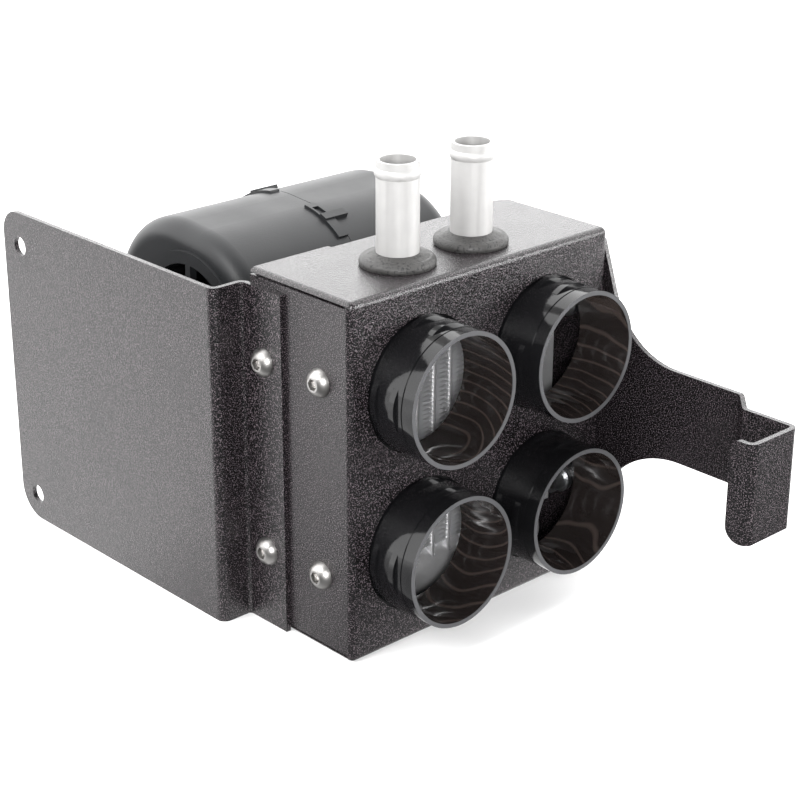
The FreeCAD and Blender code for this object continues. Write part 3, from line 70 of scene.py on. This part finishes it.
lens = bpy.data.cameras.new("camera")
lens.lens = LENS
lens.sensor_width = 36
lens.clip_start = 0.01
camera = bpy.data.objects.new("camera", lens)
bpy.context.scene.collection.objects.link(camera)
turn = Matrix.Rotation(math.radians(CAMERA_TURN), 4, "Z")
pitch = Matrix.Rotation(math.radians(90 - CAMERA_DROP), 4, "X")
roll = Matrix.Rotation(math.radians(CAMERA_ROLL), 4, "Z")
camera.matrix_world = Matrix.Translation(CAMERA_PLACE) @ turn @ pitch @ roll
bpy.context.scene.camera = camera
print("camera", round(CAMERA_PLACE.length, 3), "m from the origin, lens", LENS, "mm")

# %% [markdown]
# The studio is a pale floor in front of a pale sweep. Black paint and black gloss plastic have
# almost no colour of their own, so what they show is their surroundings. The light therefore comes
# from behind and from the left, where the sweep is far brighter than white, and the side that the
# camera stands on is dim: faces that mirror the sweep turn pale grey, and faces that mirror the
# dim side or a dark neighbour stay black. The sky is a gradient along one level direction, and
# only what the camera sees directly is plain white. An area lamp shines along its own -Z, so it
# is aimed by turning that axis to its target.

# %% Studio
SWEEP_SIDE = Vector((0.45, 0.89, 0)).normalized()
SWEEP_LIGHT = 3.6
DIM_LIGHT = 0.35
SEEN_WHITE = 1.2
SKY_TURN = (-0.45, 0.3)
FLOOR_SIZE = 8
AIM = Vector((0, 0.02, 0.06))
LAMPS = {
    "left_lamp": ((-1.3, 0.1, 1.25), (0.7, 0.7), 20.0),
    "front_lamp": ((-0.72, -0.9, 0.5), (0.35, 0.35), 16.0),
    "right_lamp": ((0.95, -1.2, 0.34), (0.6, 0.6), 22.0),
}


def add_lamp(name, place, size, power):
    """A rectangular lamp at a place, turned to face the object."""
    data = bpy.data.lights.new(name, "AREA")
    data.shape = "RECTANGLE"
    data.size, data.size_y = size
    data.energy = power
    lamp = bpy.data.objects.new(name, data)
    bpy.context.scene.collection.objects.link(lamp)
    lamp.location = place
    lamp.rotation_euler = (AIM - lamp.location).to_track_quat("-Z", "Y").to_euler()
    return lamp


def build_sky():
    """A sky that is bright on the sweep's side and dim on the other, but white where it is seen."""
    world = bpy.data.worlds.new("studio")
    world.use_nodes = True
    tree = world.node_tree
    sky = tree.nodes["Background"]
    sky.inputs["Color"].default_value = (1, 1, 1, 1)
    direction = tree.nodes.new("ShaderNodeTexCoord")
    along = tree.nodes.new("ShaderNodeVectorMath")
    along.operation = "DOT_PRODUCT"
    along.inputs[1].default_value = SWEEP_SIDE
    tree.links.new(direction.outputs["Generated"], along.inputs[0])
    light = tree.nodes.new("ShaderNodeMapRange")
    light.interpolation_type = "SMOOTHSTEP"
    for index, value in enumerate((*SKY_TURN, DIM_LIGHT, SWEEP_LIGHT), 1):
        light.inputs[index].default_value = value
    tree.links.new(along.outputs["Value"], light.inputs[0])
    seen = tree.nodes.new("ShaderNodeLightPath")
    choice = tree.nodes.new("ShaderNodeMix")
    choice.inputs["B"].default_value = SEEN_WHITE
    tree.links.new(seen.outputs["Is Camera Ray"], choice.inputs["Factor"])
    tree.links.new(light.outputs["Result"], choice.inputs["A"])
    tree.links.new(choice.outputs["Result"], sky.inputs["Strength"])
    return world


bpy.context.scene.world = build_sky()
bpy.context.scene.view_settings.view_transform = "Standard"
for name, (place, size, power) in LAMPS.items():
    add_lamp(name, place, size, power)
bpy.ops.object.select_all(action="DESELECT")
bpy.ops.mesh.primitive_plane_add(size=FLOOR_SIZE)
floor = bpy.context.object
floor.name = "floor"
print("lamps:", len(LAMPS), "sweep", SWEEP_LIGHT, "dim side", DIM_LIGHT)

# %% [markdown]
# Every finish is a small network of shader nodes. Two helpers keep those networks readable. A Wire
# is one value in the network, and ordinary arithmetic on it adds the Math nodes. A Finish is one
# material: its node method adds any other node, with its settings first and then its sockets.
# Nearly all of a noise's values lie in the range called CLOUD, so it is carried from there.

# %% Shader helpers


class Wire:
    """One value in a finish. Arithmetic on it adds Math nodes."""

    def __init__(self, finish, socket):
        self.finish = finish
        self.socket = socket

    def maths(self, operation, *values):
        return self.finish.maths(operation, *values)

    def __add__(self, other):
        return self.maths("ADD", self, other)

    __radd__ = __add__

    def __sub__(self, other):
        return self.maths("SUBTRACT", self, other)

    def __rsub__(self, other):
        return self.maths("SUBTRACT", other, self)

    def __mul__(self, other):
        return self.maths("MULTIPLY", self, other)

    __rmul__ = __mul__

    def __lt__(self, other):
        return self.maths("LESS_THAN", self, other)


CLOUD = (0.3, 0.7)


class Finish:
    """A material whose nodes are added one at a time."""

    def __init__(self, name, colour, roughness, metal=0.0, **constants):
        self.material = bpy.data.materials.new(name)
        self.material.use_nodes = True
        self.tree = self.material.node_tree
        self.shader = self.tree.nodes["Principled BSDF"]
        self.shader.inputs["Metallic"].default_value = metal
        self.place = self.node("TexCoord", output="Object")
        for socket, value in constants.items():
            self.feed(socket.replace("_", " ").title().replace("Ior", "IOR"), value)
        self.feed("Base Color", colour)
        self.feed("Roughness", roughness)

    def connect(self, socket, value):
        """Link a wire to a socket, or set the socket to a number or a colour."""
        if isinstance(value, Wire):
            self.tree.links.new(value.socket, socket)
        elif isinstance(value, (int, float)) and hasattr(socket.default_value, "__len__"):
            socket.default_value = [value] * len(socket.default_value)
        elif isinstance(value, tuple) and len(socket.default_value) == 4:
            socket.default_value = (*value[:3], 1)
        else:
            socket.default_value = value

    def feed(self, name, value):
        """Give one of the shader's own sockets a value or a wire."""
        self.connect(self.shader.inputs[name], value)

    def node(self, kind, settings=None, inputs=None, output=0):
        """Add a node: its settings first, then its sockets. Gives back one of its outputs."""
        made = self.tree.nodes.new("ShaderNode" + kind)
        for name, value in (settings or {}).items():
            setattr(made, name, value)
        for name, value in (inputs or {}).items():
            self.connect(made.inputs[name], value)
        return Wire(self, made.outputs[output])

    def maths(self, operation, *values):
        return self.node("Math", {"operation": operation}, dict(enumerate(values)))

    def noise(self, size, detail=2, rough=0.5, stretch=(1, 1, 1)):
        """Cloudy noise whose blotches are about size metres across."""
        place = self.place
        if stretch != (1, 1, 1):
            place = self.node("Mapping", inputs={"Vector": place, "Scale": stretch})
        inputs = {"Vector": place, "Scale": 1 / size, "Detail": detail, "Roughness": rough}
        return self.node("TexNoise", inputs=inputs)

    def scale(self, value, low, high, new_low, new_high):
        """Carry a value from one range to another, held at the ends."""
        return self.node("MapRange", inputs=dict(enumerate((value, low, high, new_low, new_high))))

    def mix(self, factor, first, second):
        """One colour where the factor is 0, and another where it is 1."""
        return self.node("Mix", {"data_type": "RGBA"}, {0: factor, 6: first, 7: second}, output=2)

    def relief(self, height, depth, strength=1.0):
        """Press a height pattern, up to depth metres deep, into the surface."""
        inputs = {"Strength": strength, "Distance": depth, "Height": height}
        self.feed("Normal", self.node("Bump", inputs=inputs))
        return self


print("helpers ready")

# %% [markdown]
# The steel is powder coated. The powder melts into a skin of tiny hills, less than a millimetre
# apart. Each hill catches the light by itself, which gives the coat its sparkle, and pale, slightly
# pink specks are painted on as well: they are painted glints, not grains of another powder. One
# noise gives the hills. A finer one gives the specks: its peaks are painted pale, and they stand
# up a little too. Painted colour alone would look printed, and relief alone would look hammered,
# so the coat has both.

# %% Powder coat
COAT_DARK = (0.004, 0.0036, 0.004)
# Colour of the painted glints on the coat.
COAT_PAINTED_GLINT = (0.085, 0.068, 0.076)
COAT_ROUGH = 0.2
GRAIN = 0.8 * MM
FLECK = 0.55 * GRAIN
FLECK_PEAKS = (0.55, 0.68)
COAT_DEPTH = 0.24 * GRAIN


def powder_coat(name):
    finish = Finish(name, COAT_DARK, COAT_ROUGH)
    grain = finish.noise(GRAIN, detail=2, rough=0.55)
    fleck = finish.noise(FLECK, detail=1)
    cloud = finish.noise(0.03, detail=2)
    # Painted glints: the finer noise's peaks are coloured pale pink, and they are also raised in the
    # relief.
    pale = finish.scale(fleck, *FLECK_PEAKS, 0, 1)
    finish.feed("Base Color", finish.mix(pale, COAT_DARK, COAT_PAINTED_GLINT))
    rough = finish.scale(cloud, *CLOUD, COAT_ROUGH, COAT_ROUGH + 0.05)
    finish.feed("Roughness", rough + 0.05 * grain)
    return finish.relief(grain + 0.6 * fleck, COAT_DEPTH).material


print("coat grain", GRAIN, "m")

# %% [markdown]
# The spigots are polished black plastic. Their colour hardly matters: the shine does. A moulding
# is never quite flat, so a slow wave bends its reflections, and the cut face of the rim is rough
# and greyer, because it was sawn or faced after moulding. The rim is found by its place: it is the
# nearest plane to the front. Inside the bores a wave texture in rings draws thin brown lines: these
# are painted reflections, and the same rings also ripple the bore's surface a little. The bores are
# found by their distance from the spigots' axes.

# %% Spigot plastic
rim_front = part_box("spigot_top_left")[0].y
GLOSS_BLACK = (0.005, 0.005, 0.0055)
SAWN_BLACK = (0.05, 0.05, 0.053)
SAWN_DEPTH = 0.25 * MM
SAWN_ROUGH = 0.45
BORE_BROWN = (0.012, 0.0095, 0.009)
BORE = 24.5 * MM
# Colour of the painted reflection rings inside the bores.
PAINTED_REFLECTION_RING = (0.04, 0.031, 0.028)
RING_SCALE = 78
RING_MIDDLE = (0.02, 0.03, -0.06)
RING_PEAKS = (0.88, 1.0)
POLISH = (0.06, 0.12)
right_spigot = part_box("spigot_top_right")
low_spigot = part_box("spigot_bottom_right")
spigot_across = (right_spigot[0].x + right_spigot[1].x) / 2
top_middle, low_middle = ((box[0].z + box[1].z) / 2 for box in (right_spigot, low_spigot))
spigot_middle = (top_middle + low_middle) / 2
spigot_up = (top_middle - low_middle) / 2


def spigot_plastic(name):
    finish = Finish(name, GLOSS_BLACK, 0.1, specular_ior_level=0.33)
    x, y, z = (finish.node("SeparateXYZ", inputs={0: finish.place}, output=axis) for axis in "XYZ")
    rim = y < rim_front + SAWN_DEPTH
    across = finish.maths("ABSOLUTE", x) - spigot_across
    up = finish.maths("ABSOLUTE", z - spigot_middle) - spigot_up
    bore = across * across + up * up < BORE * BORE
    wave = finish.noise(0.02, detail=1)
    scuff = finish.noise(0.0011, detail=3)
    rings = {"wave_type": "RINGS", "rings_direction": "SPHERICAL"}
    middle = finish.node("Mapping", inputs={"Vector": finish.place, "Location": RING_MIDDLE})
    inputs = {"Vector": middle, "Scale": RING_SCALE, "Distortion": 4, "Detail": 1, "Detail Scale": 0.6}
    # Painted reflection: the peaks of these rings are coloured into the bores as thin brown lines.
    ring_wave = finish.node("TexWave", rings, inputs)
    painted_reflection_rings = finish.scale(ring_wave, *RING_PEAKS, 0, 1) * bore
    colour = finish.mix(painted_reflection_rings, finish.mix(bore, GLOSS_BLACK, BORE_BROWN), PAINTED_REFLECTION_RING)
    finish.feed("Base Color", finish.mix(rim, colour, SAWN_BLACK))
    finish.feed("Roughness", finish.scale(scuff, 0.35, 0.7, *POLISH) + SAWN_ROUGH * rim)
    return finish.relief(wave + 0.02 * scuff + 0.16 * ring_wave * bore, 1 * MM, 0.5).material


print("rim at y", round(rim_front, 4))

# %% [markdown]
# The blower housing is satin plastic with a fine spark-eroded grain, and the wheels are the same
# plastic, darker. Rubber is duller and a little brown, with dust on it and small black pits. Foam
# is black and full of small open cells, which a Voronoi texture gives.

# %% Blower plastic, rubber and foam
SPARK_GRAIN = 0.6 * MM
SPARK_DEPTH = 0.08 * MM


def satin_plastic(name, colour, roughness):
    finish = Finish(name, colour, roughness, specular_ior_level=0.33)
    grain = finish.noise(SPARK_GRAIN, detail=2)
    cloud = finish.noise(0.02, detail=2)
    paler = tuple(1.3 * v for v in colour)
    finish.feed("Base Color", finish.mix(cloud, colour, paler))
    finish.feed("Roughness", finish.scale(cloud, *CLOUD, roughness - 0.03, roughness + 0.04))
    return finish.relief(grain, SPARK_DEPTH, 0.6).material


RUBBER_DARK = (0.02, 0.0195, 0.019)
RUBBER_DUSTY = (0.052, 0.05, 0.048)
PIT_BLACK = (0.008, 0.008, 0.008)
PIT_PEAKS = (0.36, 0.46)
RUBBER_ROUGH = (0.45, 0.62)


def rubber(name):
    finish = Finish(name, RUBBER_DUSTY, RUBBER_ROUGH[1])
    pore = finish.noise(0.9 * MM, detail=3)
    dust = finish.noise(4 * MM, detail=3)
    pit = finish.scale(pore, *PIT_PEAKS, 0, 1)
    body = finish.mix(dust, RUBBER_DARK, RUBBER_DUSTY)
    finish.feed("Base Color", finish.mix(pit, PIT_BLACK, body))
    finish.feed("Roughness", finish.scale(dust, *CLOUD, *RUBBER_ROUGH))
    return finish.relief(pore + 0.5 * pit, 0.2 * MM, 0.7).material


FOAM_DARK = (0.008, 0.008, 0.009)
FOAM_PALE = (0.05, 0.05, 0.052)
CELLS_PER_METRE = 1100


def foam(name):
    finish = Finish(name, FOAM_PALE, 0.95)
    inputs = {"Vector": finish.place, "Scale": CELLS_PER_METRE}
    cell = finish.node("TexVoronoi", {"feature": "F1"}, inputs, output="Distance")
    finish.feed("Base Color", finish.mix(cell, FOAM_DARK, FOAM_PALE))
    return finish.relief(cell, 0.4 * MM).material


print("spark grain", SPARK_GRAIN, "m, foam cells per metre", CELLS_PER_METRE)

# %% [markdown]
# Bare metal is almost all reflection, so its finish is in how it blurs. Drawn pipe is brushed
# along its length, so its noise is stretched along Z, and its dull anodised skin is only half
# metallic. Tumbled screws and plated steel have an even, soft blur with faint clouds.

# %% Metals
BRUSH = 1.2 * MM
BRUSH_DEPTH = 0.02 * MM


def metal(name, colour, roughness, stretch=(1, 1, 1), size=BRUSH, depth=BRUSH_DEPTH, metallic=1.0):
    finish = Finish(name, colour, roughness, metal=metallic)
    streak = finish.noise(size, detail=3, stretch=stretch)
    cloud = finish.noise(6 * MM, detail=2)
    darker = tuple(0.86 * v for v in colour)
    finish.feed("Base Color", finish.mix(cloud * streak * 1.6, darker, colour))
    rough = finish.scale(streak, *CLOUD, roughness - 0.05, roughness + 0.08)
    finish.feed("Roughness", rough)
    return finish.relief(streak, depth, 0.5).material


print("brush marks", BRUSH, "m apart")

# %% [markdown]
# The floor is plain and pale. A studio floor isn't lit evenly, though, and black gloss shows that
# more than the floor itself does. So the floor gives off a gradient of light to mirror rays alone:
# bright towards the sweep, dim on the camera's side. Two steady emissions are mixed by place,
# because a steady number on a shader's socket is the easiest kind to find and change.

# %% Floor finish
FLOOR_PALE = ((0.88, 0.88, 0.88), (0.92, 0.92, 0.92))
FLOOR_GLOW = 2.3
FLOOR_DIM = 0.25
FLOOR_TURN = (-0.07, 0.06)


def floor_material():
    """Pale and plain to the eye, but a shiny face mirrors it bright behind and dim in front."""
    finish = Finish("floor", FLOOR_PALE[0], 0.7)
    finish.feed("Base Color", finish.mix(finish.noise(0.3), *FLOOR_PALE))
    settings = {"operation": "DOT_PRODUCT"}
    inputs = {0: finish.place, 1: tuple(SWEEP_SIDE)}
    along = finish.node("VectorMath", settings, inputs, output="Value")
    dim = finish.node("Emission", inputs={"Strength": FLOOR_DIM})
    bright = finish.node("Emission", inputs={"Strength": FLOOR_GLOW})
    towards_sweep = finish.scale(along, *FLOOR_TURN, 0, 1)
    mirrored = finish.node("MixShader", inputs={0: towards_sweep, 1: dim, 2: bright})
    glossy = finish.node("LightPath", output="Is Glossy Ray")
    plain = Wire(finish, finish.shader.outputs[0])
    shown = finish.node("MixShader", inputs={0: glossy, 1: plain, 2: mirrored})
    finish.connect(finish.tree.nodes["Material Output"].inputs["Surface"], shown)
    return finish.material


print("floor glow", FLOOR_DIM, "to", FLOOR_GLOW)

# %% [markdown]
# The record names a finish for each part, so one table from that name to a material dresses every
# part of the model at once.

# %% Dress the parts
ALONG_Z = (1, 1, 0.04)
materials = {
    "powder_coat": powder_coat("powder_coat"),
    "spigot_plastic": spigot_plastic("spigot_plastic"),
    "bright_aluminium": metal("bright_aluminium", (0.75, 0.75, 0.76), 0.34, metallic=0.8),
    "fin_aluminium": metal("fin_aluminium", (0.85, 0.85, 0.86), 0.42, metallic=0.75),
    "pipe_aluminium": metal("pipe_aluminium", (0.42, 0.415, 0.41), 0.5, ALONG_Z, metallic=0.45),
    "grommet_rubber": rubber("grommet_rubber"),
    "foam": foam("foam"),
    "stainless": metal("stainless", (0.42, 0.41, 0.4), 0.36, size=4 * MM, depth=0.004 * MM),
    "zinc_steel": metal("zinc_steel", (0.62, 0.63, 0.64), 0.34),
    "housing_plastic": satin_plastic("housing_plastic", (0.009, 0.0095, 0.0105), 0.43),
    "wheel_plastic": satin_plastic("wheel_plastic", (0.006, 0.006, 0.0065), 0.3),
    "ferrite": satin_plastic("ferrite", (0.06, 0.06, 0.065), 0.6),
    "copper": metal("copper", (0.72, 0.42, 0.25), 0.3),
}
slots = {row["node"]: row["material_slot"] for row in frame["record"]["subparts"]}
for name, node in nodes.items():
    node.data.materials.clear()
    node.data.materials.append(materials[slots[name]])
floor.data.materials.append(floor_material())
print("dressed", len(slots), "parts in", len(set(slots.values())), "finishes")

# %% [markdown]
# The core's fins are one thin strip per gap between two flat tubes, folded like a concertina, with
# a leg about every millimetre. The engineering model has a few wide folds, so a finer strip takes
# its place. One fold is two extrusions of an edge, an Array repeats it up the gap, a Solidify
# gives it its thickness, and each gap gets a strip of its own.

# %% Core fins
FOLD = 1.8 * MM
FIN_SHEET = 0.28 * MM
FIN_STRIPS = 11
FIN_CLEARANCE = 0.2 * MM
TUBE_THICK = 2 * MM
START_WIDTH = 0.1 * MM
WELD = 0.02 * MM
fin_low, fin_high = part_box("core_fins")
tube_low, tube_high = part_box("core_tubes")
fin_pitch = (tube_high.x - tube_low.x - TUBE_THICK) / (FIN_STRIPS - 2)
fin_width = fin_pitch - TUBE_THICK - FIN_CLEARANCE


def pick_only(*pieces):
    """Select these pieces and nothing else, with the first one active."""
    bpy.ops.object.select_all(action="DESELECT")
    for piece in pieces:
        piece.select_set(True)
    bpy.context.view_layer.objects.active = pieces[0]


def settle(piece):
    """Put a piece's place, turn and scale into its mesh."""
    pick_only(piece)
    bpy.ops.object.transform_apply(location=True, rotation=True, scale=True)
    return piece


def modify(piece, kind, **settings):
    """Add a modifier and apply it."""
    pick_only(piece)
    modifier = piece.modifiers.new(kind, kind)
    for name, value in settings.items():
        setattr(modifier, name, value)
    bpy.ops.object.modifier_apply(modifier=modifier.name)
    return piece


def fold_strip(name, x):
    """A folded strip that fills one gap between two flat tubes."""
    depth = fin_high.y - fin_low.y
    middle = (fin_low.y + fin_high.y) / 2
    left = x - fin_width / 2
    bpy.ops.object.select_all(action="DESELECT")
    bpy.ops.mesh.primitive_plane_add(size=1, location=(left, middle, fin_low.z))
    piece = bpy.context.object
    piece.name = name
    piece.scale = (START_WIDTH, depth, 1)
    settle(piece)
    bpy.ops.object.mode_set(mode="EDIT")
    bpy.ops.mesh.select_all(action="DESELECT")
    bpy.ops.object.mode_set(mode="OBJECT")
    for vertex in piece.data.vertices:
        vertex.select = vertex.co.x < left
    bpy.ops.object.mode_set(mode="EDIT")
    bpy.ops.mesh.select_mode(type="VERT")
    bpy.ops.mesh.delete(type="VERT")
    bpy.ops.mesh.select_all(action="SELECT")
    for side in (1, -1):
        step = (side * fin_width, 0, FOLD / 2)
        bpy.ops.mesh.extrude_region_move(TRANSFORM_OT_translate={"value": step})
    bpy.ops.object.mode_set(mode="OBJECT")
    count = int((fin_high.z - fin_low.z - FIN_CLEARANCE) / FOLD)
    modify(
        piece,
        "ARRAY",
        count=count,
        use_relative_offset=False,
        use_constant_offset=True,
        constant_offset_displace=(0, 0, FOLD),
        use_merge_vertices=True,
        merge_threshold=WELD,
    )
    return modify(piece, "SOLIDIFY", thickness=FIN_SHEET, offset=0)


strips = []
for number in range(FIN_STRIPS):
    strip_x = fin_pitch * (number - (FIN_STRIPS - 1) / 2)
    strips.append(fold_strip(f"fin_strip_{number}", strip_x))
pick_only(*strips)
bpy.ops.object.join()
core_fins = settle(strips[0])
core_fins.name = "folded_fins"
core_fins.data.materials.append(materials["fin_aluminium"])
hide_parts("core_fins")
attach(core_fins, "heater")
print("fin strips:", FIN_STRIPS, "faces:", len(core_fins.data.polygons))
